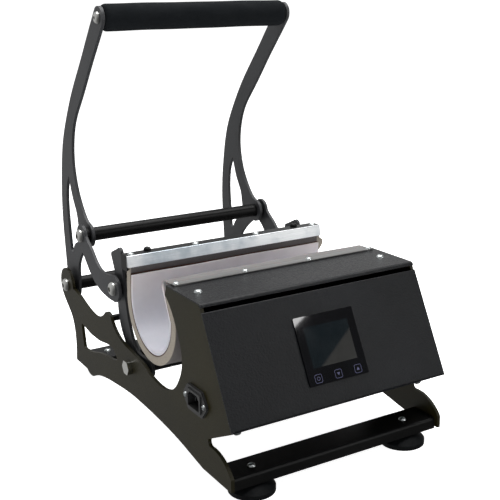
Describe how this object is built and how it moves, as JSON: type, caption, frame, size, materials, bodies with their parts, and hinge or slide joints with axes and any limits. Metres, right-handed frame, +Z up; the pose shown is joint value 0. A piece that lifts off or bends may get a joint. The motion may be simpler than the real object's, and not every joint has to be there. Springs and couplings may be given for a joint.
{
  "type": "mug heat press",
  "caption": "Bench-top press that clamps a mug in a U-shaped heated silicone mat by a hand lever and toggle links, with a leaning control box in front.",
  "frame": {"origin": "centre of the bounding box in plan, on the plane of the four feet", "axes": "+Z up, -Y to the front, where the control panel and the operator are, +X to the operator's right; the pivots lie along X"},
  "size_m": [0.2822, 0.4721, 0.4815],
  "materials": {
    "plate_paint": "satin black powder coat",
    "rail_paint": "satin black powder coat",
    "box_paint": "fine wrinkle black powder coat",
    "bolt_chrome": "bright plated",
    "screw_zinc": "bright zinc",
    "bar_polished": "polished",
    "tube_steel": "plain",
    "grip_foam": "fine cell foam",
    "foot_rubber": "matt",
    "heater_silicone": "smooth matt silicone",
    "mat_cover": "sponge silicone",
    "display_glass": "polished",
    "key_light": "lit blue",
    "display_screen": "dark display",
    "board": "solder mask",
    "component_black": "moulded"
  },
  "bodies": {
    "root": {"side_plate_left": "plate_paint", "side_plate_right": "plate_paint", "front_rail": "rail_paint", "rear_rail": "rail_paint", "suction_feet": "foot_rubber", "foot_screws": "screw_zinc", "stop_rod": "rail_paint", "front_panel": "box_paint", "top_cover": "box_paint", "back_tray": "box_paint", "cover_screws": "screw_zinc", "mat_strip": "tube_steel", "mat_strip_screws": "screw_zinc", "display_glass": "display_glass", "touch_keys": "key_light", "display_screen": "display_screen", "display_board": "board", "board_pillars": "screw_zinc", "power_board": "board", "power_parts": "component_black", "terminal_block": "component_black", "board_spacers": "screw_zinc", "inlet_body": "component_black", "inlet_pins": "screw_zinc", "inlet_screws": "screw_zinc", "mat_front_pad": "heater_silicone", "mat_front_cover": "mat_cover"},
    "lever": {"lever_plate_left": "plate_paint", "lever_plate_right": "plate_paint", "lever_rod_rear": "rail_paint", "lever_rod_front": "rail_paint", "lever_pivot_bolts": "bolt_chrome", "link_pivot_bolts": "bolt_chrome", "lever_spacers": "rail_paint", "grip_tube": "tube_steel", "grip_foam": "grip_foam", "grip_bolts": "bolt_chrome"},
    "link": {"link_left": "plate_paint", "link_right": "plate_paint", "link_end_bolts": "bolt_chrome", "link_end_spacers": "rail_paint"},
    "clamp": {"arm_left": "plate_paint", "arm_right": "plate_paint", "arm_pivot_bolts": "bolt_chrome", "arm_pivot_nuts": "bolt_chrome", "link_end_nuts": "bolt_chrome", "arm_spacers": "rail_paint", "foot_bar": "rail_paint", "clamp_bar": "bar_polished", "bar_bracket": "rail_paint", "bracket_bolts": "rail_paint", "clamp_bar_screws": "screw_zinc", "mat_rear_pad": "heater_silicone", "mat_rear_cover": "mat_cover"}
  },
  "joints": [
    {"name": "lever_swing", "type": "hinge", "parent": "root", "child": "lever", "pos_m": [0, 0.2104, 0.1154], "axis": [1, 0, 0], "range_deg": [0, 39]},
    {"name": "link_swing", "type": "hinge", "parent": "lever", "child": "link", "pos_m": [0, 0.1438, 0.1975], "axis": [1, 0, 0], "range_deg": [-75.7, 0]},
    {"name": "arm_swing", "type": "hinge", "parent": "root", "child": "clamp", "pos_m": [0, 0.0068, 0.067], "axis": [1, 0, 0], "range_deg": [0, 27.1]}
  ],
  "couplings": [
    {"joint": "link_swing", "follows": "lever_swing", "ratio": -1.94},
    {"joint": "arm_swing", "follows": "lever_swing", "ratio": 0.6936}
  ]
}
